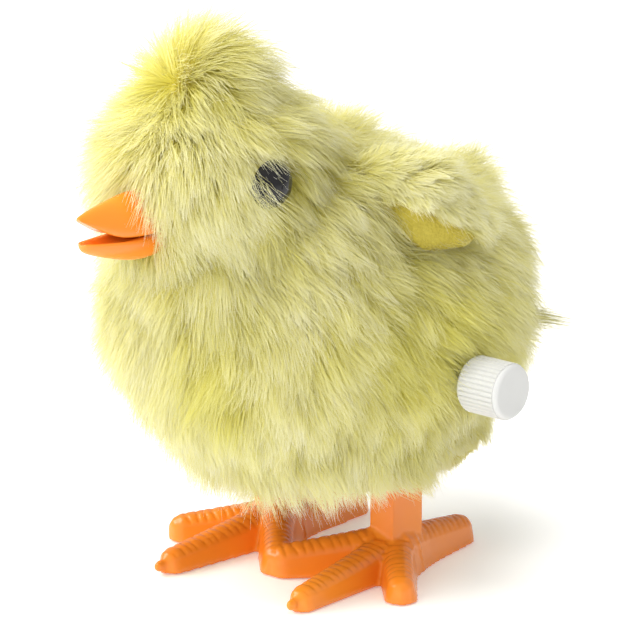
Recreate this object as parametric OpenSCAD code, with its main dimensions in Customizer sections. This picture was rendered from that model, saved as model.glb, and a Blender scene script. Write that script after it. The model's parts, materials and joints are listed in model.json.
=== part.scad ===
// Wind-up hopping chick: plush bird on a spring-driven leg mechanism.
// Millimetres. +Z is up, the chick faces -Y and its left side is +X.
// The origin is on the ground where the two inner toes meet.

/* [Legs and feet] */
// Distance between the leg centres
leg_spacing = 19.3; // [19.3:0.1:20]
// How far the legs stand behind the joined inner toes
leg_y = 12.5; // [12:0.1:13]
// Width of a leg across the toy
leg_w = 3.9; // [3.5:0.1:4]
// Depth of a leg along the toy
leg_d = 5.8; // [5:0.1:6]
// Height of a foot at the ankle
foot_h = 5.2; // [4.5:0.1:6]
// Length of the middle toe from the leg centre
middle_toe = 20.9; // [18:0.1:22]
// Length of the outer toe from the leg centre
outer_toe = 14.1; // [12:0.1:16]
// Length of the hind toe from the leg centre
hind_toe = 15.2; // [12:0.1:16]
// Angle between the middle toe and the outer toe
toe_angle = 39.6; // [35:0.1:45]
// Outward turn of each foot
splay = 3.6; // [2:0.1:5]
// Swing of the legs each way
leg_swing = 8.2; // [5:0.1:8.2]

/* [Plush body] */
// Width of the body across the pile
body_w = 53; // [52:0.5:56]
// Length of the body across the pile
body_l = 55; // [54:0.5:58]
// Height of the body across the pile
body_h = 46; // [45:0.5:47]
// Height of the middle of the body
body_z = 32.5; // [32:0.5:33]
// Thickness of the cloth with its pile
pile = 4.5; // [4:0.1:5]
// Height of the middle of the head
head_z = 56; // [55:0.5:58]
// Radius of the head across the pile
head_r = 15; // [14:0.5:16]

/* [Beak and eyes] */
// Distance of the beak tip in front of the joined toes
beak_reach = 34; // [33:0.5:36]
// Height of the beak tip
beak_z = 53.2; // [52:0.2:54]
// Diameter of an eye
eye_d = 6.4; // [5:0.1:6.6]
// Distance between the two eye centres
eye_spacing = 25.9; // [25:0.1:26.5]
// Height of the eyes
eye_z = 55.5; // [55:0.1:57]

/* [Winding knob] */
// Diameter over the knob's ribs
knob_d = 7.1; // [6.5:0.1:7.5]
// Length of the knob
knob_l = 6.4; // [6:0.1:8]
// Distance of the knob's inner end from the centre plane
knob_x = 24; // [23:0.1:25]
// Height of the winding stem
stem_z = 27.7; // [27.7:0.1:28]
// Number of ribs around the knob
knob_ribs = 36; // [24:1:40]

/* [Clockwork] */
// Gear module
gear_m = 0.35; // [0.34:0.005:0.35]
// Teeth of the great wheel
great_teeth = 40; // [38:1:40]
// Teeth of the second wheel
second_teeth = 30; // [28:1:30]
// Teeth of the third wheel
third_teeth = 24; // [22:1:24]
// Teeth of every pinion
pinion_teeth = 10; // [10:1:10]
// Distance of the crank shaft from the leg pivot
lever_r = 7; // [6.8:0.1:7.2]
// Height of the leg pivot
pivot_z = 18; // [17.8:0.1:18.2]

/* [Hidden] */
$fn = 48;

// Colours
plush_yellow = [0.93, 0.91, 0.62];
toy_orange = [0.94, 0.50, 0.13];
knob_white = [0.96, 0.96, 0.93];
shell_white = [0.88, 0.87, 0.82];
gear_nylon = [0.86, 0.80, 0.62];
steel = [0.70, 0.71, 0.73];
eye_black = [0.03, 0.03, 0.03];

// Clearances
run = 0.05;
gap = 0.3;

// Soft body: each lobe is a centre and three radii
lobe_fn = 28;
body_lobe = [[0, leg_y, body_z], [body_w, body_l, body_h] / 2];
chest_lobe = [[0, leg_y - 13, body_z + 2.5], [21, 20, 22]];
rump_lobe = [[0, leg_y + 13, body_z + 5], [19, 16, 15]];
head_lobe = [[0, leg_y - 23, head_z], [head_r, head_r + 1, head_r]];
crown_lobe = [[0, leg_y - 23.5, head_z + 5], [11.5, 12, 12.5]];
neck_lobe = [[0, leg_y - 3, body_z + 15.5], [15, 11, 10]];
belly_lobe = [[0, leg_y + 1, 21.5], [20.5, 20.5, 12]];
tail_root_lobe = [[0, leg_y + 17, body_z + 5], [11, 11, 11]];
tail_tip_lobe = [[0, leg_y + 27, body_z + 12.5], [4.5, 4.5, 4]];

// Wings
wing_root = [15.5, leg_y - 9.5, 52.5];
wing_middle = [20, leg_y - 2.5, 48.5];
wing_tip = [22.5, leg_y + 4, 44.5];
wing_t = 2.2;

// Clockwork centres, as [y, z]
great_at = [leg_y - 2.7, stem_z];
pivot_at = [leg_y, pivot_z];
lever_angle = 30;
crank_at = pivot_at + lever_r * [cos(lever_angle), sin(lever_angle)];
second_angle = 40;
second_at = great_at + gear_m * (great_teeth + pinion_teeth) / 2
    * [cos(second_angle), sin(second_angle)];
third_at = meeting_point(second_at, gear_m * (second_teeth + pinion_teeth) / 2,
    crank_at, gear_m * (third_teeth + pinion_teeth) / 2);

// Clockwork places across the toy, as [low x, high x]
plate_x = [6.2, 7.4];
great_x = [4.4, 5.6];
second_pinion_x = [4.2, 5.8];
spring_x = [0.4, 3.9];
second_wheel_x = [-1.2, -0.2];
third_pinion_x = [-1.5, 0.1];
third_wheel_x = [-3.4, -2.4];
crank_pinion_x = [-3.7, -2.1];
crank_disc_x = [7.6, 8.9];
arm_x = [9.2, leg_spacing / 2 + leg_w / 2];

// Shafts
stem_r = 1.4;
arbor_r = 0.5;
crank_r = 0.9;
pivot_r = 1;
crank_throw = lever_r * sin(leg_swing);
crank_pin_r = 0.8;
window_r = crank_pin_r + 2 * crank_throw + 0.15;
rest_pin = crank_at + crank_throw * [cos(lever_angle), sin(lever_angle)];

// Housing, as low and high corners in [y, z]
housing_low = [-0.4, 15.2];
housing_high = [26.4, 41.6];
housing_x = 13.8;
housing_wall = 1;
housing_corner = 6;
base_t = 1.4;
base_y = [2.2, 23.8];
housing_screw_y = 5.4;
housing_screw_x = 11.4;
plate_low = [0.9, 16.5];
plate_high = [24.9, 40.2];
pillar_at = [[3.4, 18.6], [22.8, 18.6], [3.4, 37.8], [22.8, 37.8]];
pillar_r = 1.5;
screw_r = 0.6;
screw_head_r = 1.1;

// Eyes and beak
eye_at = [eye_spacing / 2, leg_y - 27, eye_z];
eye_turn = -8;
eye_shank_l = 5.6;
beak_base_y = -22.8;
beak_shank_l = 6;
beak_mid_z = beak_z - 3.1;

// The point at distance ra from a and rb from b, on the +y side of the line a-b
function meeting_point(a, ra, b, rb) =
    let (d = norm(b - a), u = (b - a) / d, s = (ra * ra - rb * rb + d * d) / (2 * d))
    a + s * u + sqrt(ra * ra - s * s) * [-u[1], u[0]];

// Angle of the centre line from a to b, measured from +y towards +z
function heading(a, b) = atan2(b[1] - a[1], b[0] - a[0]);

// ---- Shared shapes ----

module egg(lobe, inset = 0) {
    translate(lobe[0])
        scale([for (r = lobe[1]) r - inset])
            sphere(1, $fn = lobe_fn);
}

module bird_shape(inset) {
    hull() {
        egg(body_lobe, inset);
        egg(chest_lobe, inset);
        egg(rump_lobe, inset);
        egg(belly_lobe, inset);
    }
    hull() {
        egg(head_lobe, inset);
        egg(crown_lobe, inset);
    }
    hull() {
        egg(head_lobe, inset + 1.5);
        egg(neck_lobe, inset);
        egg(chest_lobe, inset + 2);
    }
}

// Extrude a [y, z] outline across the toy
module across(x) {
    translate([x[0], 0, 0])
        rotate([90, 0, 90])
            linear_extrude(x[1] - x[0])
                children();
}

// A round bar across the toy
module bar(at, r, x) {
    translate([x[0], at[0], at[1]])
        rotate([0, 90, 0])
            cylinder(h = x[1] - x[0], r = r);
}

// A rectangle with round corners, exact at every corner
module rounded(low, high, r) {
    translate([low[0] + r, low[1]])
        square([high[0] - low[0] - 2 * r, high[1] - low[1]]);
    translate([low[0], low[1] + r])
        square([high[0] - low[0], high[1] - low[1] - 2 * r]);
    for (y = [low[0] + r, high[0] - r], z = [low[1] + r, high[1] - r])
        translate([y, z])
            circle(r);
}

module mirrored() {
    children();
    mirror([1, 0, 0])
        children();
}

// ---- Gears ----

pressure = 25;
tooth_share = 0.42;
function involute(a) = tan(a) * 180 / PI - a;
function flank(r, teeth) =
    let (pitch_r = gear_m * teeth / 2, base_r = pitch_r * cos(pressure))
    180 * tooth_share / teeth + involute(pressure) - involute(acos(min(1, base_r / r)));

module gear_outline(teeth) {
    pitch_r = gear_m * teeth / 2;
    radii = [pitch_r - 1.2 * gear_m, pitch_r - 0.5 * gear_m, pitch_r, pitch_r + 0.5 * gear_m,
        pitch_r + 0.85 * gear_m];
    polygon([for (k = [0:teeth - 1], side = [-1, 1], i = [0:4])
        let (r = radii[side < 0 ? i : 4 - i], a = 360 * k / teeth + side * flank(r, teeth))
        r * [cos(a), sin(a)]]);
}

// A gear about a centre, with its first tooth at an angle
module gear(at, teeth, x, turn) {
    across(x)
        translate(at)
            rotate(turn)
                gear_outline(teeth);
}

// Turn that puts a tooth gap of the driven gear on the driver's tooth
function mesh_turn(from, from_teeth, from_turn, to, to_teeth) =
    let (line = heading(from, to), phase = (line - from_turn) * from_teeth / 360)
    line + 180 + (phase + 0.5) * 360 / to_teeth;

great_turn = 0;
second_pinion_turn = mesh_turn(great_at, great_teeth, great_turn, second_at, pinion_teeth);
second_wheel_turn = 0;
third_pinion_turn = mesh_turn(second_at, second_teeth, second_wheel_turn, third_at, pinion_teeth);
third_wheel_turn = 0;
crank_turn = mesh_turn(third_at, third_teeth, third_wheel_turn, crank_at, pinion_teeth);

// ---- Soft parts ----

// Room for the housing and, below it, for the two swinging legs
module belly_opening(margin) {
    across([-housing_x - margin, housing_x + margin])
        rounded([housing_low[0] - margin, 13.1], [housing_high[0] + margin, housing_high[1] + margin], 5);
    mirrored()
        translate([leg_spacing / 2 - leg_w / 2 - 0.8, leg_y - leg_d / 2 - 1.7, -1])
            cube([leg_w + 1.6, leg_d + 3.4, 17]);
}

module plush_cover() {
    color(plush_yellow)
        difference() {
            union() {
                bird_shape(0);
                hull() {
                    egg(tail_root_lobe);
                    egg(tail_tip_lobe);
                }
            }
            bird_shape(pile);
            belly_opening(gap);
            bar(great_at, knob_d / 2 + gap, [0, knob_x + knob_l]);
            face_pockets();
        }
}

// Room for the beak, the eyes and the washers behind them
module face_pockets() {
    mirrored() {
        eye_shank(0.1);
        eye_place() {
            translate([0, 0, -0.05])
                cylinder(h = eye_d, r = eye_d / 2 + 0.2);
            translate([0, 0, -eye_shank_l - 2])
                cylinder(h = 3.1, r = 2.6);
        }
    }
    beak_shank(0.1);
    beak_place() {
        translate([0, 0, -14])
            cylinder(h = 15.4, r = 4.6);
        translate([0, 0, beak_shank_l - 2.3])
            cylinder(h = 3.3, r = 3.3);
    }
}

module stuffing() {
    color("white")
        difference() {
            bird_shape(pile + 0.1);
            belly_opening(gap);
            bar(great_at, stem_r + 1, [0, knob_x]);
            face_pockets();
        }
}

module wing() {
    hull() {
        translate(wing_root)
            scale([wing_t, 3.6, 4])
                sphere(1, $fn = 20);
        translate(wing_middle)
            scale([wing_t, 4.6, 5])
                sphere(1, $fn = 20);
        translate(wing_tip)
            scale([wing_t * 0.8, 3, 2.6])
                sphere(1, $fn = 20);
    }
}

// The wing stands on the cover and doesn't enter it
module trimmed_wing() {
    color(plush_yellow)
        difference() {
            wing();
            bird_shape(0);
        }
}

module left_wing() {
    trimmed_wing();
}

module right_wing() {
    mirror([1, 0, 0])
        trimmed_wing();
}

// ---- Face ----

module eye_place() {
    translate(eye_at)
        rotate([0, 0, eye_turn])
            rotate([0, 90, 0])
                children();
}

module eye_shank(margin) {
    eye_place()
        translate([0, 0, -eye_shank_l - 1])
            cylinder(h = eye_shank_l + 2, r = 0.8 + margin);
}

// A domed button eye on a barbed shank
module eye() {
    color(eye_black)
        eye_place()
            rotate_extrude() {
                intersection() {
                    translate([0, 0.5 - eye_d / 4])
                        circle(eye_d / 2);
                    square(eye_d);
                }
                translate([0, -eye_shank_l])
                    square([0.8, eye_shank_l + 0.5]);
            }
}

module left_eye() {
    eye();
}

module right_eye() {
    mirror([1, 0, 0])
        eye();
}

module eye_washers() {
    color(shell_white)
        mirrored()
            eye_place()
                translate([0, 0, -eye_shank_l + 0.2])
                    difference() {
                        cylinder(h = 0.8, r = 2.3);
                        translate([0, 0, -1])
                            cylinder(h = 3, r = 0.8);
                    }
}

module beak_place() {
    translate([0, beak_base_y, beak_mid_z])
        rotate([-90, 0, 0])
            children();
}

module beak_shank(margin) {
    beak_place()
        cylinder(h = beak_shank_l, r = 1.1 + margin);
}

// One half of the beak: a base and a tip
module mandible(base_z, base_size, tip_y, tip_z, tip_r) {
    hull() {
        translate([0, beak_base_y, base_z])
            scale(base_size)
                sphere(1, $fn = 24);
        translate([0, (beak_base_y + tip_y) / 2, (base_z + tip_z) / 2 + 0.2])
            scale(0.72 * base_size)
                sphere(1, $fn = 24);
        translate([0, tip_y + tip_r, tip_z])
            sphere(tip_r, $fn = 16);
    }
}

module beak() {
    color(toy_orange) {
        mandible(beak_mid_z + 1.2, [3.4, 1.2, 3], -beak_reach, beak_z - 0.6, 0.6);
        mandible(beak_mid_z - 2, [3.2, 1.2, 2.2], 1.2 - beak_reach, beak_z - 3.6, 0.6);
        beak_shank(0);
    }
}

module beak_washer() {
    color(shell_white)
        beak_place()
            translate([0, 0, beak_shank_l - 1.6])
                difference() {
                    cylinder(h = 1, r = 3);
                    translate([0, 0, -1])
                        cylinder(h = 3, r = 1.1);
                }
}

// ---- Legs and feet: one moulding ----

// A toe's side walls stand straight up from a flat sole under a round top
module toe_end(at, r, h) {
    translate([at[0], at[1], 0])
        cylinder(h = h - r, r = r, $fn = 24);
    translate([at[0], at[1], h - r])
        sphere(r, $fn = 24);
}

module foot() {
    ankle = [leg_spacing / 2, leg_y];
    middle_tip = ankle + (middle_toe - 1.4) * [sin(splay), -cos(splay)];
    outer_tip = ankle + (outer_toe - 1.7) * [sin(splay + toe_angle), -cos(splay + toe_angle)];
    hind_tip = ankle + (hind_toe - 1.7) * [-sin(splay), cos(splay)];
    inner_tip = [0, 1.6];
    // Middle and hind toe, one ridge through the ankle
    hull() {
        toe_end(ankle, 2.6, foot_h);
        toe_end(middle_tip, 1.4, 3);
        toe_end(hind_tip, 1.7, 3.6);
    }
    hull() {
        toe_end(ankle + [0, -1], 2.4, foot_h);
        toe_end(outer_tip, 1.7, 3.6);
    }
    hull() {
        toe_end(ankle + [0, -1], 2.4, foot_h);
        toe_end(inner_tip, 1.8, 3.8);
    }
}

module leg() {
    leg_x = [leg_spacing / 2 - leg_w / 2, leg_spacing / 2 + leg_w / 2];
    difference() {
        union() {
            across(leg_x) {
                translate([leg_y - leg_d / 2, foot_h - 2])
                    square([leg_d, pivot_z - foot_h + 2]);
                translate(pivot_at)
                    circle(leg_d / 2);
            }
            across(arm_x) {
                translate(pivot_at)
                    rotate(lever_angle)
                        translate([0, -2.2])
                            square([lever_r, 4.4]);
                translate(crank_at)
                    circle(window_r + 1.1);
            }
        }
        bar(pivot_at, pivot_r + run, [leg_x[0] - 1, leg_x[1] + 1]);
        bar(crank_at, window_r, [leg_x[0] - 1, leg_x[1] + 1]);
    }
}

module feet() {
    color(toy_orange)
        mirrored() {
            foot();
            leg();
        }
}

// ---- Housing ----

module housing_block(margin) {
    intersection() {
        across([-housing_x, housing_x])
            rounded(housing_low + [margin, margin], housing_high - [margin, margin], 5 - margin);
        linear_extrude(60)
            rounded([margin - housing_x, housing_low[0] + margin], [housing_x - margin, housing_high[0] - margin],
                housing_corner - margin);
    }
}

module housing_cover() {
    color(shell_white)
        difference() {
            union() {
                difference() {
                    housing_block(0);
                    housing_block(housing_wall);
                    translate([-housing_x - 1, housing_low[0] - 1, housing_low[1] - 1])
                        cube([2 * housing_x + 2, housing_high[0] - housing_low[0] + 2, 1.2]);
                    floor_opening();
                }
                screw_places(housing_low[1] + 0.2)
                    cylinder(h = 7, r = 1.7);
            }
            screw_places(housing_low[1] - 1)
                cylinder(h = 6, r = screw_r);
            bar(great_at, stem_r + run, [0, housing_x + 1]);
        }
}

// The cover is open below, inside the line of its walls
module floor_opening() {
    translate([0, 0, housing_low[1] - 1])
        linear_extrude(3)
            rounded([housing_wall - housing_x, base_y[0] + 2], [housing_x - housing_wall, base_y[1] - 1.8], 5);
}

module screw_places(z) {
    for (x = [-1, 1])
        translate([x * housing_screw_x, housing_screw_y, z])
            children();
}

// The base has a slot for each leg and a tongue that stands inside the cover's back wall
module housing_base() {
    color(shell_white)
        difference() {
            union() {
                translate([0, 0, housing_low[1] - base_t + 0.2])
                    linear_extrude(base_t)
                        rounded([-housing_x, base_y[0]], [housing_x, base_y[1]], housing_corner);
                translate([-4, base_y[1] - 3, housing_low[1]])
                    cube([8, 1, 1.6]);
            }
            for (x = [-1, 1])
                translate([x * leg_spacing / 2 - leg_w / 2 - gap, leg_y - leg_d / 2 - 1.1, 0])
                    cube([leg_w + 2 * gap, leg_d + 2.2, 30]);
            screw_places(0)
                cylinder(h = 30, r = screw_r);
        }
}

module housing_screws() {
    color(steel)
        screw_places(housing_low[1] - base_t + 0.2)
            screw(5);
}

// A pan-head screw with a cross recess, its head below the origin
module screw(l) {
    difference() {
        union() {
            cylinder(h = l, r = screw_r);
            translate([0, 0, -0.6])
                cylinder(h = 0.6, r = screw_head_r);
        }
        for (turn = [0, 90])
            rotate(turn)
                translate([-0.7, -0.15, -1])
                    cube([1.4, 0.3, 0.7]);
    }
}

// ---- Clockwork frame ----

module plate_outline() {
    difference() {
        rounded(plate_low, plate_high, 3.8);
        translate(great_at)
            circle(stem_r + run);
        translate(crank_at)
            circle(crank_r + run);
        translate(pivot_at)
            circle(pivot_r);
        for (at = [second_at, third_at])
            translate(at)
                circle(arbor_r);
    }
}

module left_plate() {
    color(shell_white)
        difference() {
            across(plate_x)
                plate_outline();
            for (at = pillar_at)
                bar(at, screw_r, plate_x + [-1, 1]);
        }
}

// The right plate carries the pillars and the post that holds the spring's outer end
spring_post_r = 0.8;
spring_post_at = great_at - [6.9, 0];
module right_plate() {
    color(shell_white)
        difference() {
            union() {
                across([-plate_x[1], -plate_x[0]])
                    plate_outline();
                for (at = pillar_at)
                    bar(at, pillar_r, [-plate_x[0] - 0.2, plate_x[0]]);
                bar(spring_post_at, spring_post_r, [-plate_x[0] - 0.2, spring_x[1] + 0.2]);
            }
            for (at = pillar_at)
                bar(at, screw_r, [plate_x[0] - 4, plate_x[0] + 1]);
        }
}

module plate_screws() {
    color(steel)
        for (at = pillar_at)
            translate([plate_x[1], at[0], at[1]])
                rotate([0, -90, 0])
                    screw(4.6);
}

module leg_pivot_pin() {
    color(steel)
        bar(pivot_at, pivot_r, [-12.4, 12.4]);
}

module pivot_caps() {
    color(steel)
        mirrored()
            difference() {
                bar(pivot_at, 2, [11.8, 12.6]);
                bar(pivot_at, pivot_r, [11, 12.4]);
            }
}

// ---- Winding and spring ----

module knob_outline() {
    r = knob_d / 2;
    polygon([for (k = [0:knob_ribs - 1], p = [[0, -0.16], [0.28, 0], [0.72, 0], [1, -0.16]])
        let (a = 360 * (k + p[0]) / knob_ribs)
        (r + p[1]) * [cos(a), sin(a)]]);
}

// The ribs stop before the round rims at the two ends
module winding_knob() {
    r = knob_d / 2;
    rim = 0.6;
    color(knob_white)
        translate([knob_x, great_at[0], great_at[1]])
            rotate([0, 90, 0])
                difference() {
                    union() {
                        translate([0, 0, rim])
                            linear_extrude(knob_l - 2 * rim)
                                knob_outline();
                        rotate_extrude() {
                            square([r - rim - 0.08, knob_l]);
                            translate([0, rim])
                                square([r - 0.14, knob_l - 2 * rim]);
                            for (z = [rim, knob_l - rim])
                                translate([r - rim - 0.14, z])
                                    circle(rim);
                        }
                    }
                    translate([0, 0, -1])
                        cylinder(h = knob_l - 1, r = stem_r);
                }
}

module winding_stem() {
    color(steel)
        bar(great_at, stem_r, [-plate_x[1] - 0.4, knob_x + knob_l - 2]);
}

module great_wheel() {
    color(gear_nylon)
        difference() {
            union() {
                gear(great_at, great_teeth, great_x, great_turn);
                bar(great_at, 2.4, [great_x[0] - 0.3, plate_x[0] - 0.2]);
            }
            bar(great_at, stem_r, [0, 8]);
            for (a = [30:60:330])
                bar(great_at + 4.4 * [cos(a), sin(a)], 1.2, [0, 8]);
        }
}

// A wound strip from the stem out to the post, with a loop round the post
spring_turns = 6;
spring_t = 0.22;
spring_in = 1.8;
spring_out = 5.9;
module mainspring() {
    steps = 24 * spring_turns;
    color(steel)
        across(spring_x) {
            translate(great_at)
                polygon([for (side = [0, 1], i = [0:steps])
                    let (s = (side == 0 ? i : steps - i) / steps,
                        r = spring_in + (spring_out - spring_in) * s + side * spring_t,
                        a = 180 + 360 * spring_turns * s)
                    r * [cos(a), sin(a)]]);
            translate(spring_post_at)
                difference() {
                    circle(spring_post_r + spring_t);
                    circle(spring_post_r);
                }
        }
}

// ---- Gear train ----

// A wheel with its own pinion, turning on an arbor
module wheel_and_pinion(at, teeth, wheel_x, wheel_turn, pinion_x, pinion_turn) {
    low = min(wheel_x[0], pinion_x[0]);
    high = max(wheel_x[1], pinion_x[1]);
    color(gear_nylon)
        difference() {
            union() {
                gear(at, teeth, wheel_x, wheel_turn);
                gear(at, pinion_teeth, pinion_x, pinion_turn);
                bar(at, 1.1, [low, high]);
            }
            bar(at, arbor_r + run, [low - 1, high + 1]);
        }
}

module second_wheel() {
    wheel_and_pinion(second_at, second_teeth, second_wheel_x, second_wheel_turn,
        second_pinion_x, second_pinion_turn);
}

module third_wheel() {
    wheel_and_pinion(third_at, third_teeth, third_wheel_x, third_wheel_turn,
        third_pinion_x, third_pinion_turn);
}

module arbor(at) {
    color(steel)
        bar(at, arbor_r, [-plate_x[1], plate_x[1]]);
}

module second_arbor() {
    arbor(second_at);
}

module third_arbor() {
    arbor(third_at);
}

// ---- Crank ----

module crank_shaft() {
    color(steel)
        bar(crank_at, crank_r, [-1, 1] * (crank_disc_x[1] - 0.3));
}

module crank_pinion() {
    color(gear_nylon)
        difference() {
            gear(crank_at, pinion_teeth, crank_pinion_x, crank_turn);
            bar(crank_at, crank_r, crank_pinion_x + [-1, 1]);
        }
}

module crank_disc() {
    color(shell_white) {
        difference() {
            bar(crank_at, 2.6, crank_disc_x);
            bar(crank_at, crank_r, crank_disc_x + [-1, 1]);
        }
        bar(rest_pin, crank_pin_r, [crank_disc_x[1] - 0.2, 12.2]);
    }
}

module left_crank() {
    crank_disc();
}

module right_crank() {
    mirror([1, 0, 0])
        crank_disc();
}

plush_cover();
stuffing();
left_wing();
right_wing();
beak();
beak_washer();
left_eye();
right_eye();
eye_washers();
feet();
housing_cover();
housing_base();
housing_screws();
left_plate();
right_plate();
plate_screws();
winding_knob();
winding_stem();
great_wheel();
mainspring();
second_wheel();
second_arbor();
third_wheel();
third_arbor();
crank_shaft();
crank_pinion();
left_crank();
right_crank();
leg_pivot_pin();
pivot_caps();
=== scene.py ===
"""Looks of the wind-up hopping chick: long plush pile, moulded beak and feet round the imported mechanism."""

import json
import math

import bmesh
import bpy
import numpy as np
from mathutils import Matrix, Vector
from mathutils.kdtree import KDTree


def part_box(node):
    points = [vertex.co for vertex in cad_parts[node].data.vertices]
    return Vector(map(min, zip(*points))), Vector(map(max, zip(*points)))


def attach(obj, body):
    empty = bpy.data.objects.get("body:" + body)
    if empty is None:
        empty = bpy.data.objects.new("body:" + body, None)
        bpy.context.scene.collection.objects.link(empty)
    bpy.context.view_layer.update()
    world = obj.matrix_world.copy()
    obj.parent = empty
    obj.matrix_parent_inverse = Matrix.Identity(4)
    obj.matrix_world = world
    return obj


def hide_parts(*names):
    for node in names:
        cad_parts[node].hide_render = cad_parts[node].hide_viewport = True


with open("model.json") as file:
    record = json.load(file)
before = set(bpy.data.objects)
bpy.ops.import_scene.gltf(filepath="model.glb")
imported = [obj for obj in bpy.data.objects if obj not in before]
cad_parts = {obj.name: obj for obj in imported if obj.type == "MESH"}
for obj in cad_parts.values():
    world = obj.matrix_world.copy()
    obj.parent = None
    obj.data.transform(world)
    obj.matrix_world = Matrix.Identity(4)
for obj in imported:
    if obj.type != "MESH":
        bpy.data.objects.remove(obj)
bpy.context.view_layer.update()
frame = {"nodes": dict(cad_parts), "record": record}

MM = 0.001
SEED = 20

# Places on the toy in mm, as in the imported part
LEG_X, LEG_Y = 9.65, 12.5
EYE = np.array([12.95, LEG_Y - 27, 55.5])
BEAK_BASE = np.array([0.0, -22.8, 50.1])
KNOB_YZ = (LEG_Y - 2.7, 27.7)

# Lobes of the bird out to the tips of its pile: centre and radii in mm
BODY = ((0, LEG_Y, 32.5), (25.2, 26.2, 22.5))
CHEST = ((0, LEG_Y - 13, 36), (22, 21.5, 21))
RUMP = ((0, LEG_Y + 13, 37), (18.5, 15, 13.5))
BELLY = ((0, LEG_Y - 3.5, 22), (20.5, 22, 12.7))
HEAD = ((0, LEG_Y - 23, 54.5), (16, 16.6, 14))
CROWN = ((-0.5, LEG_Y - 23.5, 61), (11, 11, 13.7))
MUZZLE = ((0, LEG_Y - 30, 50.2), (11, 11, 10))
BIB = ((0, LEG_Y - 25.5, 44.5), (13.5, 10.5, 11))
THROAT = ((0, LEG_Y - 13.5, 44.5), (19.5, 19, 16))
NECK = ((0, LEG_Y - 4, 48), (15, 12, 11))
TAIL = ((0, LEG_Y + 19.5, 43), (8, 11, 7))
BIRD = (BODY, CHEST, RUMP, BELLY, HEAD, CROWN, MUZZLE, BIB, THROAT, NECK, TAIL)

# Where the pile parts, where its yellow is deepest, and where a darker, richer yellow is painted shade on the
# flank
WHORL = (-2.5, -22, 67.5)
FOREHEAD = (-0.5, -20, 68)
BREAST = (6.6, -19, 33)
# Painted shade: the flank under the head and towards the shadowed side gets a darker, richer yellow
SHADED_FLANK = (20, 2, 35)

# Locks that stand out of the pile: root, direction and length in mm
LOCKS = (((15, 26.5, 31), (0.75, 0.65, -0.1), 8.6), ((0, 37, 44), (0.1, 0.45, 0.9), 6.5))

# The flap of the left wing: centre and radii in mm of its three lobes
WING = (((12.0, 3.8, 51.2), (1.1, 2.6, 3.0)), ((18.7, 8.2, 48.7), (1.1, 3.8, 5.1)),
        ((20.5, 12.2, 46.2), (0.9, 2.6, 2.5)))


# ---- Camera, light and floor ----

def make_camera():
    azimuth, elevation, distance = math.radians(41.0), math.radians(16.2), 0.6
    aim = Vector((-1.85, LEG_Y - 1.8, 30.9)) * MM
    back = Vector((math.sin(azimuth) * math.cos(elevation), -math.cos(azimuth) * math.cos(elevation),
                   math.sin(elevation)))
    data = bpy.data.cameras.new("camera")
    data.lens = 272.6
    data.clip_end = 10
    camera = bpy.data.objects.new("camera", data)
    camera.location = aim + back * distance
    camera.rotation_euler = (-back).to_track_quat("-Z", "Y").to_euler()
    bpy.context.collection.objects.link(camera)
    bpy.context.scene.camera = camera


def area_light(name, place, aim, size, power, tint=(1, 1, 1)):
    data = bpy.data.lights.new(name, "AREA")
    data.size, data.energy, data.color = size, power, tint
    light = bpy.data.objects.new(name, data)
    light.location = place
    light.rotation_euler = (Vector(aim) - Vector(place)).to_track_quat("-Z", "Y").to_euler()
    bpy.context.collection.objects.link(light)
    return light


def make_studio():
    scene = bpy.context.scene
    scene.view_settings.view_transform = "Standard"
    world = bpy.data.worlds.new("studio")
    world.use_nodes = True
    world.node_tree.nodes["Background"].inputs["Color"].default_value = (1, 1, 1, 1)
    world.node_tree.nodes["Background"].inputs["Strength"].default_value = 0.6
    scene.world = world
    middle = (0, 0.01, 0.035)
    area_light("key", (-0.36, -0.26, 0.40), middle, 0.40, 2.8, (1.0, 0.985, 0.96))
    area_light("fill", (0.06, -0.56, 0.20), middle, 0.40, 1.45).visible_glossy = False
    area_light("top", (0.06, -0.10, 0.60), middle, 0.30, 2.6).visible_glossy = False
    bpy.ops.mesh.primitive_plane_add(size=6, location=(0, 0, -0.0002))
    floor = bpy.context.object
    floor.name = "floor"
    paper = plain_material("floor_paper", (0.93, 0.93, 0.92), 0.6)
    shader = paper.node_tree.nodes["Principled BSDF"]
    shader.inputs["Emission Color"].default_value = (1, 1, 1, 1)
    shader.inputs["Emission Strength"].default_value = 0.22
    floor.data.materials.append(paper)


# ---- Materials ----

def new_material(name, **sockets):
    """A material with its shader's constants set, and its tree and shader."""
    mat = bpy.data.materials.new(name)
    mat.use_nodes = True
    shader = mat.node_tree.nodes["Principled BSDF"]
    for key, value in sockets.items():
        shader.inputs[key.replace("_", " ")].default_value = value
    return mat, mat.node_tree, shader


def plain_material(name, colour, roughness):
    mat, _, shader = new_material(name, Roughness=roughness)
    shader.inputs["Base Color"].default_value = (*colour, 1)
    return mat


def node(tree, kind, **settings):
    made = tree.nodes.new(kind)
    for key, value in settings.items():
        if key in made.inputs:
            made.inputs[key].default_value = value
        else:
            setattr(made, key, value)
    return made


def ramp(tree, factor, stops):
    made = tree.nodes.new("ShaderNodeValToRGB")
    while len(made.color_ramp.elements) < len(stops):
        made.color_ramp.elements.new(0.5)
    for element, (place, colour) in zip(made.color_ramp.elements, stops):
        element.position = place
        element.color = (*colour, 1)
    tree.links.new(factor, made.inputs["Fac"])
    return made.outputs["Color"]


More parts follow.
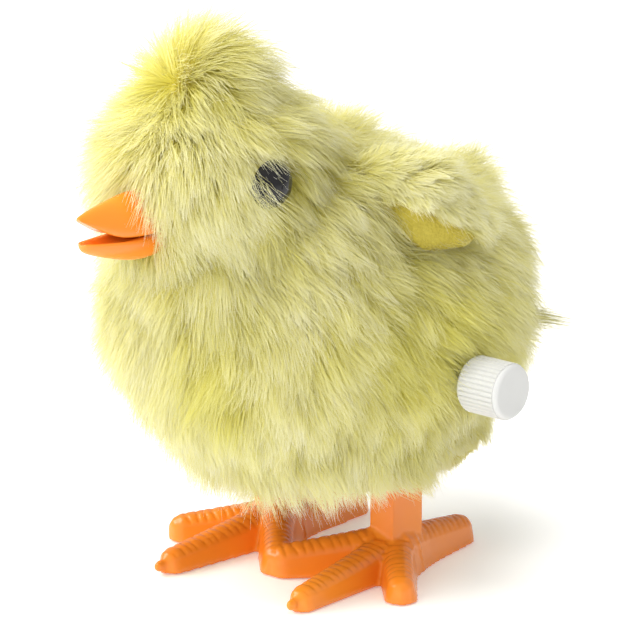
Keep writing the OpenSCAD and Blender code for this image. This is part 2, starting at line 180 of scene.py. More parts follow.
def mottled(name, dark, light, scale, bump, roughness, **sockets):
    """Moulded plastic or metal: a slow change of colour, fine bump and uneven gloss."""
    mat, tree, shader = new_material(name, **sockets)
    place = tree.nodes.new("ShaderNodeTexCoord").outputs["Object"]
    slow = node(tree, "ShaderNodeTexNoise", Scale=scale, Detail=4.0)
    fine = node(tree, "ShaderNodeTexNoise", Scale=scale * 14, Detail=3.0)
    for noise in (slow, fine):
        tree.links.new(place, noise.inputs["Vector"])
    tree.links.new(ramp(tree, slow.outputs["Fac"], [(0.3, dark), (0.7, light)]), shader.inputs["Base Color"])
    spread = node(tree, "ShaderNodeMapRange")
    spread.inputs["To Min"].default_value = roughness - 0.06
    spread.inputs["To Max"].default_value = roughness + 0.08
    tree.links.new(slow.outputs["Fac"], spread.inputs["Value"])
    tree.links.new(spread.outputs["Result"], shader.inputs["Roughness"])
    relief = node(tree, "ShaderNodeBump", Strength=bump, Distance=0.0001)
    tree.links.new(fine.outputs["Fac"], relief.inputs["Height"])
    tree.links.new(relief.outputs["Normal"], shader.inputs["Normal"])
    return mat


def fur_material():
    """Colour runs from root to tip along V, and from pale to rich across U; the rich, darker end is real deep
    yellow and also painted shade. Light also passes through.
    """
    mat, tree, shader = new_material("plush_pile", Roughness=0.6)
    shader.inputs["Specular IOR Level"].default_value = 0.2
    uv = node(tree, "ShaderNodeUVMap", uv_map="OFBake")
    split = tree.nodes.new("ShaderNodeSeparateXYZ")
    tree.links.new(uv.outputs["UV"], split.inputs["Vector"])
    pale = ramp(tree, split.outputs["Y"], [(0.0, (0.68, 0.60, 0.10)), (0.36, (0.82, 0.76, 0.25)),
                                           (0.72, (0.91, 0.88, 0.50)), (1.0, (0.96, 0.95, 0.84))])
    # Darker, richer yellow: the real deep-yellow patches and painted shade on the flanks and round the eyes
    rich_and_shaded = ramp(tree, split.outputs["Y"], [(0.0, (0.66, 0.58, 0.05)), (0.45, (0.80, 0.74, 0.13)),
                                           (1.0, (0.88, 0.85, 0.33))])
    mix = node(tree, "ShaderNodeMix", data_type="RGBA")
    tree.links.new(split.outputs["X"], mix.inputs["Factor"])
    ends = [socket for socket in mix.inputs if socket.type == "RGBA"]
    tree.links.new(pale, ends[0])
    tree.links.new(rich_and_shaded, ends[1])
    colour = next(socket for socket in mix.outputs if socket.type == "RGBA")
    tree.links.new(colour, shader.inputs["Base Color"])
    glow = tree.nodes.new("ShaderNodeBsdfTranslucent")
    tree.links.new(colour, glow.inputs["Color"])
    both = node(tree, "ShaderNodeMixShader")
    both.inputs["Fac"].default_value = 0.46
    tree.links.new(shader.outputs["BSDF"], both.inputs[1])
    tree.links.new(glow.outputs["BSDF"], both.inputs[2])
    tree.links.new(both.outputs["Shader"], tree.nodes["Material Output"].inputs["Surface"])
    return mat


def cloth_material(name, dark, light):
    """Cloth or fibre: fine loops and a slow change of colour."""
    mat, tree, shader = new_material(name, Roughness=0.85)
    place = tree.nodes.new("ShaderNodeTexCoord").outputs["Object"]
    loops = node(tree, "ShaderNodeTexVoronoi", Scale=2600.0)
    slow = node(tree, "ShaderNodeTexNoise", Scale=300.0)
    for texture in (loops, slow):
        tree.links.new(place, texture.inputs["Vector"])
    tree.links.new(ramp(tree, slow.outputs["Fac"], [(0.3, dark), (0.7, light)]), shader.inputs["Base Color"])
    relief = node(tree, "ShaderNodeBump", Strength=0.6, Distance=0.0002)
    tree.links.new(loops.outputs["Distance"], relief.inputs["Height"])
    tree.links.new(relief.outputs["Normal"], shader.inputs["Normal"])
    return mat


# ---- Mesh helpers ----

def mesh_object(name, mesh, material):
    made = bpy.data.objects.new(name, mesh)
    bpy.context.collection.objects.link(made)
    mesh.materials.append(material)
    return made


def apply_modifiers(piece):
    """Leaves the piece with the mesh that its modifiers make."""
    shaped = bpy.data.meshes.new_from_object(piece.evaluated_get(bpy.context.evaluated_depsgraph_get()))
    old = piece.data
    piece.modifiers.clear()
    piece.data = shaped
    bpy.data.meshes.remove(old)


def melt(piece, voxel, smoothing):
    """Joins the piece's overlapping solids into one smooth skin."""
    remesh = piece.modifiers.new("join", "REMESH")
    remesh.mode, remesh.voxel_size, remesh.use_smooth_shade = "VOXEL", voxel, True
    smooth = piece.modifiers.new("smooth", "SMOOTH")
    smooth.factor, smooth.iterations = 0.5, smoothing
    apply_modifiers(piece)


def add_lobe(bm, centre, radii):
    made = bmesh.ops.create_uvsphere(bm, u_segments=64, v_segments=40, radius=1)
    for v in made["verts"]:
        v.co = Vector([(c + r * x) * MM for c, r, x in zip(centre, radii, v.co)])


def corners(piece):
    """Vertex places and normals, and triangles, as arrays in millimetres."""
    mesh = piece.data
    mesh.calc_loop_triangles()
    places = np.empty(len(mesh.vertices) * 3)
    mesh.vertices.foreach_get("co", places)
    normals = np.empty(len(mesh.vertices) * 3)
    mesh.vertices.foreach_get("normal", normals)
    triangles = np.empty(len(mesh.loop_triangles) * 3, dtype=np.int32)
    mesh.loop_triangles.foreach_get("vertices", triangles)
    return places.reshape(-1, 3) / MM, normals.reshape(-1, 3), triangles.reshape(-1, 3)


def unit(v):
    return v / np.maximum(np.linalg.norm(v, axis=-1, keepdims=True), 1e-9)


def smoothstep(low, high, x):
    t = np.clip((x - low) / (high - low), 0, 1)
    return t * t * (3 - 2 * t)


def near(p, centre, reach):
    """1 at the centre, falling softly to 0 at the reach."""
    return 1 - smoothstep(0, 1, np.linalg.norm((p - np.array(centre)) / np.array(reach), axis=1))


def left_side(p):
    """The same places brought over to the left side."""
    side = p.copy()
    side[:, 0] = np.abs(side[:, 0])
    return side


# ---- The cloth under the pile ----

# Depth of the pile over the cloth, thickness of the cloth and gap from there to the filling, in mm
PILE, CLOTH, GAP = 5.0, 0.4, 0.5

# Radius of the knob's hole, and half width, half depth and top of the legs' slots
KNOB_HOLE = 3.4
LEG_SLOT = (2.5, 4.3, 20)


def swollen(bm, node_name, margin):
    """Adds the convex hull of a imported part, grown by a margin in millimetres."""
    part = frame["nodes"][node_name]
    low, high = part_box(node_name)
    middle = Vector([(a + b) / 2 for a, b in zip(low, high)])
    grow = [1 + 2 * margin * MM / (b - a) for a, b in zip(low, high)]
    verts = []
    for v in part.data.vertices:
        at = part.matrix_world @ v.co - middle
        verts.append(bm.verts.new(middle + Vector([c * g for c, g in zip(at, grow)])))
    wrap(bm, verts)


def wrap(bm, verts):
    """Keeps only the convex hull of the given vertices."""
    hull = bmesh.ops.convex_hull(bm, input=verts)
    spare = hull["geom_interior"] + hull["geom_unused"]
    loose = {g for g in spare if isinstance(g, bmesh.types.BMVert)}
    bmesh.ops.delete(bm, geom=list(loose), context="VERTS")


def lobed(name, lobes, inset, material, voxel, smoothing, round_parts=(), taut=False):
    """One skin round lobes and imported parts, stretched straight between the lobes where taut."""
    bm = bmesh.new()
    for centre, radii in lobes:
        add_lobe(bm, centre, [r - inset for r in radii])
    if taut:
        places = [v.co.copy() for v in bm.verts]
        bm.clear()
        wrap(bm, [bm.verts.new(place) for place in places])
    for node_name, margin in round_parts:
        swollen(bm, node_name, margin)
    mesh = bpy.data.meshes.new(name)
    bm.to_mesh(mesh)
    bm.free()
    made = mesh_object(name, mesh, material)
    melt(made, voxel, smoothing)
    return made


def make_skin(material):
    """The outer face of the cloth. It runs on under the clockwork's housing."""
    return lobed("plush_cloth", BIRD, PILE, material, 0.9 * MM, 24,
                 (("housing_cover", 0.9), ("housing_base", 0.9)))


def finish_cloth(skin):
    """Cuts the holes for the legs and the knob, and gives the cloth its thickness."""
    bm = bmesh.new()
    bm.from_mesh(skin.data)
    places = np.array([v.co for v in bm.verts]) / MM
    cut = [v for v, keep in zip(bm.verts, clear_of_holes(places)) if not keep]
    bmesh.ops.delete(bm, geom=cut, context="VERTS")
    bm.to_mesh(skin.data)
    bm.free()
    solid = skin.modifiers.new("thickness", "SOLIDIFY")
    solid.thickness, solid.offset = CLOTH * MM, -1
    apply_modifiers(skin)


def make_filling(skin, material):
    """Lumpy fibre that fills the cloth, with room for the clockwork's housing and the stem."""
    places, normals, _ = corners(skin)
    lumps = 0.25 * np.sin(places @ np.array([0.9, 0.4, 0.2])) * np.sin(places @ np.array([-0.3, 0.8, 0.7]))
    mesh = skin.data.copy()
    mesh.name = "fibre_filling"
    mesh.vertices.foreach_set("co", ((places - normals * (CLOTH + GAP + lumps)[:, None]) * MM).ravel())
    mesh.materials.clear()
    filling = mesh_object("fibre_filling", mesh, material)
    low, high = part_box("housing_cover")
    room, below, stem_hole = 0.6 * MM, 20 * MM, 2.4 * MM
    size = [high[k] - low[k] + room for k in range(3)]
    middle = [(high[k] + low[k]) / 2 for k in range(3)]
    size[2] += below
    middle[2] -= below / 2
    bpy.ops.mesh.primitive_cube_add(size=1, location=middle, scale=size)
    cutters = [bpy.context.object]
    bpy.ops.mesh.primitive_cylinder_add(radius=stem_hole, depth=40 * MM, rotation=(0, math.pi / 2, 0),
                                        location=(20 * MM, KNOB_YZ[0] * MM, KNOB_YZ[1] * MM))
    cutters.append(bpy.context.object)
    for cutter in cutters:
        cut = filling.modifiers.new("room", "BOOLEAN")
        cut.operation, cut.object, cut.solver = "DIFFERENCE", cutter, "EXACT"
    apply_modifiers(filling)
    for cutter in cutters:
        bpy.data.objects.remove(cutter)
    return filling


# ---- The pile ----

# Segments along each strand
STEPS = 3


def scatter(skin, count, rng, weight):
    """Roots spread over the skin: places and normals, in millimetres."""
    places, normals, triangles = corners(skin)
    a, b, c = (places[triangles[:, k]] for k in range(3))
    share = np.linalg.norm(np.cross(b - a, c - a), axis=1) * weight((a + b + c) / 3)
    picked = rng.choice(len(triangles), count, p=share / share.sum())
    u, v = rng.random(count), rng.random(count)
    over = u + v > 1
    u[over], v[over] = 1 - u[over], 1 - v[over]
    w = 1 - u - v
    mix = lambda field: sum(s[:, None] * field[triangles[picked, k]] for k, s in enumerate((w, u, v)))
    return mix(places), unit(mix(normals))


def clear_of_holes(p, margin=0.0):
    """True where the cloth is whole: away from the two legs and the winding knob."""
    knob = (np.hypot(p[:, 1] - KNOB_YZ[0], p[:, 2] - KNOB_YZ[1]) > KNOB_HOLE) | (p[:, 0] < 0)
    half_width, half_depth, top = LEG_SLOT
    beside = np.abs(np.abs(p[:, 0]) - LEG_X) > half_width + margin
    leg = beside | (np.abs(p[:, 1] - LEG_Y) > half_depth + margin) | (p[:, 2] > top)
    return knob & leg


def rooted(p):
    """1 where pile grows, 0 at holes and under the eyes and the beak."""
    eye = np.linalg.norm((left_side(p) - EYE + [3, -1.7, -0.7]) / [3.6, 2.5, 3.0], axis=1) > 1
    beak = np.linalg.norm((p - BEAK_BASE) / [2.3, 5, 3.2], axis=1) > 1
    return (clear_of_holes(p, 1.3) & eye & beak).astype(float)


def flow(p, n):
    """The way the pile is combed over the skin at each place."""
    away = unit(p - np.array(WHORL))
    reach = np.linalg.norm(p - np.array(WHORL), axis=1)[:, None]
    fall = np.array([0, 0.15, -1.0]) + np.array([0, 0.25, 0]) * smoothstep(-15, 8, p[:, 1:2])
    combed = away * (1.2 - 0.8 * smoothstep(14, 36, reach)) + fall * (0.2 + 0.8 * smoothstep(6, 26, reach))
    wave = 0.3 * np.sin(p[:, 0] * 0.31 + p[:, 2] * 0.23 + 1.0) + 0.3 * np.sin(p[:, 1] * 0.47 - p[:, 2] * 0.41)
    back = near(p, TAIL[0], (12, 16, 10))[:, None]
    combed = combed * (1 - back) + np.array([0, 1.0, 0.4]) * back
    flat = unit(combed - n * np.sum(combed * n, axis=1, keepdims=True))
    return unit(flat + np.cross(n, flat) * wave[:, None])


def pile_length(p):
    """Length of the strands in mm: long on the body, short at the face, wings, knob and legs."""
    side = left_side(p)
    length = np.full(len(p), 8.4)
    length -= 1.0 * near(p, HEAD[0], (26, 24, 22))
    length -= 3.8 * near(p, BEAK_BASE, (9, 12, 8))
    length -= 4.0 * near(side, EYE + [0, 3.4, 2.0], (7, 6.0, 6.6))
    length -= 3.6 * near(side, WING[1][0], (8, 10, 8))
    length -= 5.0 * near(p, (22, *KNOB_YZ), (9, 9, 9))
    length -= 6.2 * (1 - smoothstep(12.5, 18.0, p[:, 2]))
    length -= 3.4 * near(side, (LEG_X, LEG_Y - 9, 16), (9, 10, 8))
    length -= 3.0 * near(p, FOREHEAD, (9, 9, 9))
    length -= 4.8 * (1 - smoothstep(18, 32, p[:, 2])) * smoothstep(4, 18, p[:, 1])
    length += 2.5 * near(p, (0, LEG_Y + 27, 45), (8, 9, 7))
    return np.maximum(length, 1.6)


def upright(p):
    """How far the pile stands up instead of lying over: most on the crown, forehead and chest."""
    lift = 0.9 + 0.8 * near(p, WHORL, (13, 13, 13)) + 0.5 * near(p, (0, -22, 34), (26, 16, 24))
    lift += 0.9 * near(p, BEAK_BASE, (7, 8, 7))
    return lift - 0.35 * smoothstep(5, 25, p[:, 1])


def calm(p):
    """How smooth and even the pile lies: most on the face and chest."""
    return 1 - smoothstep(-21, -8, p[:, 1])


def veered(along, n, angle):
    """Turns the combed direction over the skin by an angle."""
    return along * np.cos(angle)[:, None] + np.cross(n, along) * np.sin(angle)[:, None]


def strand_points(p, n, along, lift, bend, length):
    """Points along each strand: it leaves the cloth at an angle and leans over as it goes."""
    points, here = [p], p
    for k in range(STEPS):
        s = (k + 0.5) / STEPS
        rise = lift * (1 - 0.62 * s)
        step = unit(n * rise[:, None] + along * (0.5 + bend[:, None] * s) + np.array([0, 0, -0.22 * s]))
        here = here + step * (length / STEPS)[:, None]
        points.append(here)
    return np.stack(points, axis=1)


def make_pile(skin, count, clumps, rng, length_of=pile_length, weight=rooted, comb=flow):
    """Points, normals and tuft numbers of every strand. Strands are drawn partly together into tufts."""
    seed_p, seed_n = scatter(skin, clumps, rng, weight)
    seed_l = length_of(seed_p) * rng.uniform(0.76, 1.16, clumps)
    seed_lift = rng.uniform(0.7, 1.3, clumps) * upright(seed_p)
    seed_veer = rng.normal(0, 0.30, clumps) * (1 - 0.4 * calm(seed_p))
    guide = strand_points(seed_p, seed_n, veered(comb(seed_p, seed_n), seed_n, seed_veer), seed_lift,
                          rng.uniform(0.3, 0.8, clumps), seed_l)
    tree = KDTree(clumps)
    for k, place in enumerate(seed_p):
        tree.insert(place, k)
    tree.balance()
    p, n = scatter(skin, count, rng, weight)
    tuft = np.array([tree.find(place)[1] for place in p])
    length = length_of(p) * rng.uniform(0.55, 1.08, count) * (seed_l / length_of(seed_p))[tuft]
    lift = seed_lift[tuft] + rng.normal(0, 0.22, count)
    stray = rng.random(count) < 0.08
    length[stray] *= 1.12
    lift[stray] += 0.4
    lean = unit(n + rng.normal(0, 0.2, (count, 3)))
    veer = 0.6 * seed_veer[tuft] + rng.normal(0, 0.32, count)
    bend = rng.uniform(0.2, 0.9, count)
    own = strand_points(p, lean, veered(comb(p, n), n, veer), lift, bend, length)
    pull = rng.uniform(0.3, 0.86, clumps)[tuft] * np.where(stray, 0.1, 1.0) * (1 - 0.5 * calm(p))
    s = np.linspace(0, 1, STEPS + 1)
    share = pull[:, None] * s[None, :] ** 1.7
    shrink = (length / seed_l[tuft])[:, None, None]
    goal = seed_p[tuft][:, None, :] + (guide[tuft] - seed_p[tuft][:, None, :]) * shrink
    points = own + share[:, :, None] * (goal - own)
    return points, n, tuft


def make_lock(skin, rng, root, direction, length):
    """One thin tuft that runs out straight from its root."""
    ahead, reach = unit(np.array(direction)), (2.2, 2.2, 2.2)
    return make_pile(skin, 160, 1, rng,
                     length_of=lambda p: np.full(len(p), length),
                     weight=lambda p: near(p, root, reach),
                     comb=lambda p, n: np.tile(ahead, (len(p), 1)))


def yellow_depth_and_shade(p, tuft, rng):
    """How rich and dark the yellow is: deepest on forehead and breast; on the flanks and round the eyes it is
    painted shade. It varies by tuft.
    """
    side = left_side(p)
    tint = 0.20 + 0.8 * near(p, FOREHEAD, (9, 9.5, 10)) + 0.95 * near(p, BREAST, (9, 10, 15))
    # Round the eyes and on the flanks the darker, richer yellow is painted shade: the shadow round the sunk
    # eyes and on the flank under the head
    tint += 0.6 * near(side, EYE + [0, 1.5, 1.5], (6, 6.5, 6.5)) + 0.75 * near(side, SHADED_FLANK, (12, 20, 17))
    spread = rng.uniform(-0.2, 0.34, tuft.max() + 1)[tuft]
    tint += spread * (1 - 0.5 * calm(p)) + rng.normal(0, 0.08, len(p))
    return np.clip(tint, 0.02, 0.98)


def pile_mesh(name, points, n, tint, rng, width):
    """One flat tapering blade per strand, its face turned outward."""
    count, rows = points.shape[:2]
    along = unit(np.gradient(points, axis=1))
    across = unit(np.cross(along, n[:, None, :]))
    roll = rng.normal(0, 0.5, count)[:, None, None]
    across = unit(across * np.cos(roll) + np.cross(along, across) * np.sin(roll))
    s = np.linspace(0, 1, rows)
    half = width * rng.uniform(0.7, 1.2, count)[:, None] * (1 - s[None, :]) ** 0.7 * 0.5 + 0.008
    sides = across * half[:, :, None]
    verts = np.stack([points - sides, points + sides], axis=2).reshape(-1, 3) * MM
    base = (np.arange(count) * rows * 2)[:, None, None]
    row = (np.arange(rows - 1) * 2)[None, :, None]
    quads = (base + row + np.array([0, 1, 3, 2])[None, None, :]).reshape(-1, 4)
    mesh = bpy.data.meshes.new(name)
    mesh.vertices.add(len(verts))
    mesh.vertices.foreach_set("co", verts.ravel())
    mesh.loops.add(quads.size)
    mesh.loops.foreach_set("vertex_index", quads.ravel().astype(np.int32))
    mesh.polygons.add(len(quads))
    mesh.polygons.foreach_set("loop_start", (np.arange(len(quads)) * 4).astype(np.int32))
    mesh.polygons.foreach_set("use_smooth", np.ones(len(quads), dtype=bool))
    mesh.update(calc_edges=True)
    u = np.repeat(tint, rows * 2)
    v = np.tile(np.repeat(s, 2), count)
    layer = mesh.uv_layers.new(name="OFBake")
    layer.data.foreach_set("uv", np.stack([u, v], axis=1)[quads.ravel()].ravel())
    face = unit(np.cross(across, along))
    face *= np.sign(np.sum(face * n[:, None, :], axis=2, keepdims=True) + 1e-9)
    soft = unit(n[:, None, :] * 0.95 + face * 0.22)
    mesh.normals_split_custom_set_from_vertices(np.repeat(soft, 2, axis=1).reshape(-1, 3))
    return mesh


def make_fur(skin, material):
    """All the pile of the body, in pieces that follow each other from front to back."""
    rng = np.random.default_rng(SEED)
    count, tufts, pieces, width = 310000, 3300, 10, 0.066
    whole = make_pile(skin, count, tufts, rng)
    locks = [make_lock(skin, rng, *lock) for lock in LOCKS]
    points, n, tuft = (np.concatenate(fields) for fields in zip(whole, *locks))
    tint = yellow_depth_and_shade(points[:, 0], tuft, rng)
    order = np.argsort(points[:, 0, 1])
    made = []
    for k, part in enumerate(np.array_split(order, pieces)):
        mesh = pile_mesh(f"pile_{k + 1}", points[part], n[part], tint[part], rng, width)
        made.append(mesh_object(f"pile_{k + 1}", mesh, material))
    return made


# ---- Wings ----

def wing_comb(_, n):
    back = np.array([0.2, 0.8, -0.7])
    return unit(back - n * (n @ back)[:, None])


def wing_cover(p):
    """1 on the long pile of the wing, falling to 0 at its front and lower edge, where the felt shows."""
    above_edge = 0.62 * (p[:, 1] - 3) + (p[:, 2] - 48.8)
    return smoothstep(2.4, 3.6, above_edge)


def wing_pile_length(p):
    return 1.4 + 2.6 * wing_cover(p)


def wing_roots(p):
    """Pile grows on the outer face only, and not on the felt."""
    outside = p[:, 0] - (12.4 + 0.9 * (p[:, 1] - 3.2)) > -0.4
    return outside * wing_cover(p)


def make_wings(cloth, strands_material):
    rng = np.random.default_rng(SEED + 1)
    flap = lobed("wing_cloth", WING, 0, cloth, 0.35 * MM, 6, taut=True)
    points, n, _ = make_pile(flap, 16000, 300, rng, wing_pile_length, wing_roots, wing_comb)
    tint = 0.7 - 0.52 * wing_cover(points[:, 0]) + 0.7 * near(points[:, 0], (14, 1, 52), (3, 4.5, 4))
    tint = np.clip(tint + rng.normal(0, 0.12, len(points)), 0.02, 0.98)
    made = []
    for name, side in (("left_wing", 1), ("right_wing", -1)):
        turned = points * [side, 1, 1]
        mesh = pile_mesh(name + "_pile", turned, n * [side, 1, 1], tint, rng, 0.085)
        made.append((name, mesh_object(name + "_pile", mesh, strands_material)))
        mesh = flap.data.copy()
        piece = mesh_object(name + "_cloth", mesh, cloth)
        if side < 0:
            mesh.transform(((-1, 0, 0, 0), (0, 1, 0, 0), (0, 0, 1, 0), (0, 0, 0, 1)))
            mesh.flip_normals()
        made.append((name, piece))
    bpy.data.objects.remove(flap)
    return made


# ---- Beak ----

def lofted(name, rings, material):
    """A closed smooth solid through rings of points, in millimetres."""
    bm = bmesh.new()
    rows = [[bm.verts.new(Vector(p) * MM) for p in ring] for ring in rings]
    for one, two in zip(rows, rows[1:]):
        for k in range(len(one)):
            bm.faces.new((one[k - 1], one[k], two[k], two[k - 1]))
    bm.faces.new(rows[0])
    bm.faces.new(rows[-1][::-1])
    bmesh.ops.recalc_face_normals(bm, faces=bm.faces)
    mesh = bpy.data.meshes.new(name)
    bm.to_mesh(mesh)
    bm.free()
    made = mesh_object(name, mesh, material)
    smooth = made.modifiers.new("smooth", "SUBSURF")
    smooth.levels = smooth.render_levels = 2
    apply_modifiers(made)
    made.data.shade_smooth()
    return made


def beak_ring(y, half, top, seam, low, roundness):
    """A section across one half of the beak: a ridged vault over a flat seam, or under it."""
    points = []
    for k in range(9):
        a = math.pi * k / 8
        x, h = half * math.cos(a), abs(math.sin(a)) ** roundness
        points.append((x, y, seam + (top - seam) * h))
    for k in range(1, 4):
        x = half * (-1 + k / 2)
        points.append((x, y, seam + low * (1 - abs(x / half))))
    return points


def make_beak(material):
    """Two halves with an open mouth between them, each through sections from the base to the tip."""
    upper = [beak_ring(y, half, top, seam, 0.25, 1.15) for y, half, top, seam in (
        (-19.0, 3.1, 54.2, 49.4), (-22.0, 3.3, 54.6, 49.4), (-24.2, 3.25, 54.75, 49.45),
        (-26.6, 2.9, 54.6, 49.5), (-28.9, 2.35, 54.3, 49.8), (-31.0, 1.65, 53.9, 50.9),
        (-32.8, 0.95, 53.5, 51.9), (-33.8, 0.5, 53.2, 52.5), (-34.0, 0.3, 53.1, 52.7))]
    lower = [beak_ring(y, half, low, rim, dip, 0.8) for y, half, low, rim, dip in (
        (-19.0, 3.0, 46.6, 49.6, 0.0), (-22.0, 3.2, 46.2, 49.6, 0.0), (-24.2, 3.1, 46.0, 49.5, -0.2),
        (-26.6, 2.8, 46.4, 49.5, -0.6), (-28.9, 2.35, 47.1, 49.65, -1.0), (-31.0, 1.75, 47.7, 49.8, -0.9),
        (-32.8, 1.15, 48.4, 49.9, -0.5), (-33.5, 0.65, 48.9, 49.9, -0.2))]
    return [lofted("beak_upper", upper, material), lofted("beak_lower", lower, material)]


# ---- Feet ----

TOE_STEPS = 26
SPLAY, TOE_ANGLE = math.radians(3.6), math.radians(39.6)

# A toe's section, for half width and height of 1: sides that draw in towards the top, under a vault
TOE_SIDE = [(-1.14, 0), (-1.05, 0.25), (-0.94, 0.5)]
VAULT = [math.pi * j / 10 for j in range(1, 10)]
TOE_SECTION = (TOE_SIDE + [(-0.94 * math.cos(a), 0.5 + 0.5 * math.sin(a)) for a in VAULT]
               + [(-u, z) for u, z in reversed(TOE_SIDE)])


def toe_lines():
    """Each toe of the left foot: name, start, tip, widths and heights at both ends."""
    ankle = np.array([LEG_X, LEG_Y])
    point = lambda angle, reach: ankle + reach * np.array([math.sin(angle), -math.cos(angle)])
    return (
        ("middle", point(SPLAY, -1.0), point(SPLAY, 20.9), (2.7, 1.55), (5.4, 2.7)),
        ("outer", point(SPLAY + TOE_ANGLE, -0.5), point(SPLAY + TOE_ANGLE, 14.3), (2.4, 1.75), (5.3, 3.0)),
        ("hind", point(SPLAY + math.pi, -1.0), point(SPLAY + math.pi, 15.4), (3.0, 1.85), (5.6, 3.2)),
        ("inner", ankle + [-0.2, -0.6], np.array([-0.9, 0.1]), (2.5, 2.0), (6.0, 3.5)),
    )


def add_toe(bm, start, tip, widths, heights):
    """A tapering bar of the toe's section, closed by a round end."""
    run = tip - start
    length = np.linalg.norm(run)
    ahead = run / length
    aside = np.array([-ahead[1], ahead[0]])
    rows = []
    for k in range(TOE_STEPS + 1):
        s = k / TOE_STEPS
        half = widths[0] + (widths[1] - widths[0]) * s + 0.9 * max(0, 1 - s / 0.45) ** 2
        height = heights[0] + (heights[1] - heights[0]) * s ** 0.9
        left = max(0.0, length * (1 - s))
        close = math.sqrt(max(0.02, 1 - max(0, 1 - left / (1.15 * widths[1])) ** 2))
        middle = start + run * s
        top = height * (0.55 + 0.45 * close)
        rows.append([bm.verts.new(Vector((*(middle + aside * half * close * u), top * z)) * MM)
                     for u, z in TOE_SECTION])
    for one, two in zip(rows, rows[1:]):
        for k in range(len(one)):
            bm.faces.new((one[k - 1], one[k], two[k], two[k - 1]))
    bm.faces.new(rows[0])
    bm.faces.new(rows[-1][::-1])


def add_web(bm, one, two, reach):
    """A low sloping web between the roots of two toes."""
    ankle = np.array([LEG_X, LEG_Y])
    ends = {name: unit(tip - ankle) for name, _, tip, _, _ in toe_lines()}
    outline = (ankle, ankle + ends[one] * reach, ankle + ends[two] * reach)
    low = [bm.verts.new(Vector((*at, 0)) * MM) for at in outline]
    high = [bm.verts.new(Vector((*at, h)) * MM) for at, h in zip(outline, (5.0, 1.6, 1.6))]
    bm.faces.new(low)
    bm.faces.new(high)
    for k in range(3):
        bm.faces.new((low[k - 1], low[k], high[k], high[k - 1]))


def add_block(bm, low, high):
    made = bmesh.ops.create_cube(bm, size=1)
    for v in made["verts"]:
        v.co = Vector([(a + b) / 2 + c * (b - a) for a, b, c in zip(low, high, v.co)]) * MM


def add_eyelet(bm, at, outer, inner, x):
    """A plate ring across the toy, round a hole."""
    count = 48
    rows = []
    for r, side in ((outer, x[0]), (outer, x[1]), (inner, x[1]), (inner, x[0])):
        turn = [2 * math.pi * k / count for k in range(count)]
        rows.append([bm.verts.new(Vector((side, at[0] + r * math.cos(a), at[1] + r * math.sin(a))) * MM)
                     for a in turn])
    for one, two in zip(rows, rows[1:] + rows[:1]):
        for k in range(count):
            bm.faces.new((one[k - 1], one[k], two[k], two[k - 1]))


# The leg post: half width, half depth, foot and top. The pivot: y and z. The lever: angle and length.
# Each ring: outer and inner radius.
POST = (1.95, 2.9, 4.2, 16.4)
PIVOT, PIVOT_RING = (LEG_Y, 18.0), (2.9, 1.15)
LEVER, LEVER_RING = (math.radians(30), 7.0), (4.0, 3.0)


def add_leg(bm):
    """The square post, its pivot eye and the lever that the crank works."""
    half_width, half_depth, low, high = POST
    inner, thin, outer = LEG_X - half_width, LEG_X - 0.4, LEG_X + half_width
    add_block(bm, (inner, LEG_Y - half_depth, low), (outer, LEG_Y + half_depth, high))
    add_eyelet(bm, PIVOT, *PIVOT_RING, (inner, outer))
    window = (PIVOT[0] + LEVER[1] * math.cos(LEVER[0]), PIVOT[1] + LEVER[1] * math.sin(LEVER[0]))
    add_eyelet(bm, window, *LEVER_RING, (thin, outer))
    first = len(bm.verts)
    add_block(bm, (thin, 2.0, -2.1), (outer, 3.7, 2.1))
    bm.verts.ensure_lookup_table()
    for v in bm.verts[first:]:
        y, z = v.co.y, v.co.z
        v.co.y = PIVOT[0] * MM + y * math.cos(LEVER[0]) - z * math.sin(LEVER[0])
        v.co.z = PIVOT[1] * MM + y * math.sin(LEVER[0]) + z * math.cos(LEVER[0])


def wrinkle(places, normals):
    """Cross grooves over the tops of the toes."""
    side = left_side(places)
    depth = np.zeros(len(places))
    best = np.full(len(places), 1e9)
    for _, start, tip, _, _ in toe_lines():
        run = tip - start
        length = np.linalg.norm(run)
        along = (side[:, :2] - start) @ (run / length)
        off = np.abs((side[:, :2] - start) @ np.array([-run[1], run[0]]) / length)
        mine = (off < best) & (along > 1.5) & (along < length + 0.5)
        best = np.where(mine, off, best)
        uneven = 0.14 * np.sin(1.7 * along + 1) + 0.07 * np.sin(2.9 * off + 2.3 * along)
        ridge = np.abs(np.sin(math.pi * (along + uneven + 0.24 * off ** 1.4) / 1.15))
        reach = smoothstep(1.5, 4.0, along) * smoothstep(length - 0.3, length - 2.0, along)
        groove = (1 - ridge) ** 2 * reach
        depth = np.where(mine, groove, depth)
    top = smoothstep(0.25, 0.75, normals[:, 2]) * (places[:, 2] < 5.8) * smoothstep(0.8, 2.0, places[:, 2])
    return -0.21 * depth * top


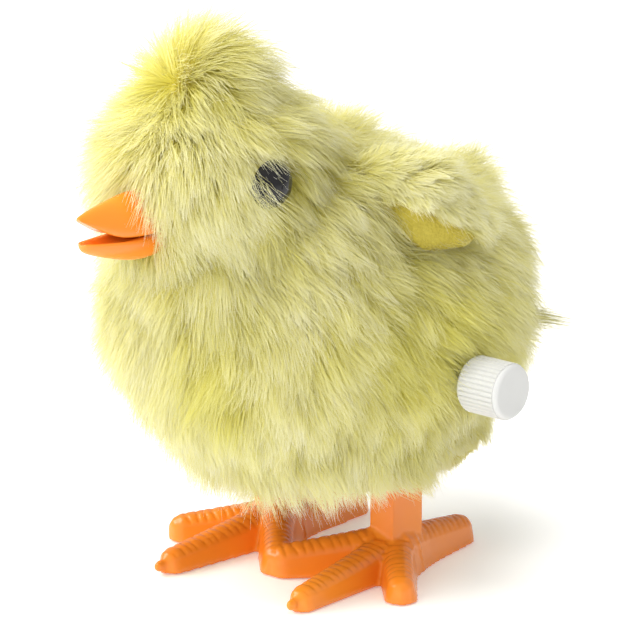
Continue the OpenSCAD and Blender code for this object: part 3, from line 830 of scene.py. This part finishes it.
def make_feet(material):
    """Both legs and feet as one moulding, made on the left and mirrored."""
    bm = bmesh.new()
    for _, start, tip, widths, heights in toe_lines():
        add_toe(bm, start, tip, widths, heights)
    for one, two, reach in (("outer", "hind", 8.2), ("middle", "outer", 6.8), ("inner", "middle", 5.6)):
        add_web(bm, one, two, reach)
    claw = toe_lines()[0][2] + 0.3 * np.array([math.sin(SPLAY), -math.cos(SPLAY)])
    nub = bmesh.ops.create_icosphere(bm, subdivisions=3, radius=1)
    for v in nub["verts"]:
        v.co = Vector((claw[0] + 0.62 * v.co.x, claw[1] + 0.9 * v.co.y, 1.0 + 0.75 * v.co.z)) * MM
    add_leg(bm)
    mirrored = bmesh.ops.duplicate(bm, geom=bm.verts[:] + bm.edges[:] + bm.faces[:])["geom"]
    for v in (g for g in mirrored if isinstance(g, bmesh.types.BMVert)):
        v.co.x = -v.co.x
    bmesh.ops.reverse_faces(bm, faces=[g for g in mirrored if isinstance(g, bmesh.types.BMFace)])
    bmesh.ops.recalc_face_normals(bm, faces=bm.faces)
    mesh = bpy.data.meshes.new("feet_moulding")
    bm.to_mesh(mesh)
    bm.free()
    feet = mesh_object("feet_moulding", mesh, material)
    melt(feet, 0.24 * MM, 3)
    places, normals, _ = corners(feet)
    places += normals * wrinkle(places, normals)[:, None]
    sole = places[:, 2] < 0.12
    places[sole, 2] = 0.0
    feet.data.vertices.foreach_set("co", (places * MM).ravel())
    feet.data.update()
    return feet


# ---- Everything together ----

make_camera()
make_studio()

cloth = cloth_material("plush_backing", (0.62, 0.52, 0.10), (0.78, 0.70, 0.20))
lining = cloth_material("wing_lining", (0.44, 0.35, 0.04), (0.55, 0.46, 0.07))
fibre = cloth_material("filling", (0.85, 0.85, 0.83), (0.95, 0.95, 0.93))
orange = mottled("orange_plastic", (0.80, 0.20, 0.015), (0.90, 0.27, 0.02), 60, 0.1, 0.24)
pile = fur_material()


def stand_for(piece, node_name, body):
    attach(piece, body)
    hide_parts(node_name)


skin = make_skin(cloth)
for strands in make_fur(skin, pile):
    stand_for(strands, "plush_cover", "chassis")
filling = make_filling(skin, fibre)
stand_for(filling, "stuffing", "chassis")
for wing_name, piece in make_wings(lining, pile):
    stand_for(piece, wing_name, "chassis")
finish_cloth(skin)
stand_for(skin, "plush_cover", "chassis")
for half in make_beak(orange):
    stand_for(half, "beak", "chassis")
stand_for(make_feet(orange), "feet", "legs")

SLOT_MATERIALS = {
    "orange_plastic": orange,
    "eye_plastic": mottled("eye_plastic", (0.006, 0.006, 0.007), (0.014, 0.013, 0.014), 40, 0.02, 0.08,
                           Specular_IOR_Level=0.35),
    "knob_plastic": mottled("knob_plastic", (0.55, 0.55, 0.535), (0.60, 0.60, 0.585), 80, 0.1, 0.36),
    "shell_plastic": mottled("shell_plastic", (0.72, 0.70, 0.62), (0.82, 0.80, 0.72), 70, 0.2, 0.5),
    "nylon": mottled("nylon", (0.74, 0.67, 0.44), (0.84, 0.78, 0.58), 90, 0.2, 0.45),
    "steel": mottled("steel", (0.50, 0.51, 0.53), (0.66, 0.67, 0.69), 120, 0.2, 0.3, Metallic=1.0),
    "filling": fibre,
    "plush": cloth,
}
for entry in frame["record"]["subparts"]:
    cad = frame["nodes"][entry["node"]]
    for slot in cad.material_slots:
        slot.material = SLOT_MATERIALS[entry["material_slot"]]
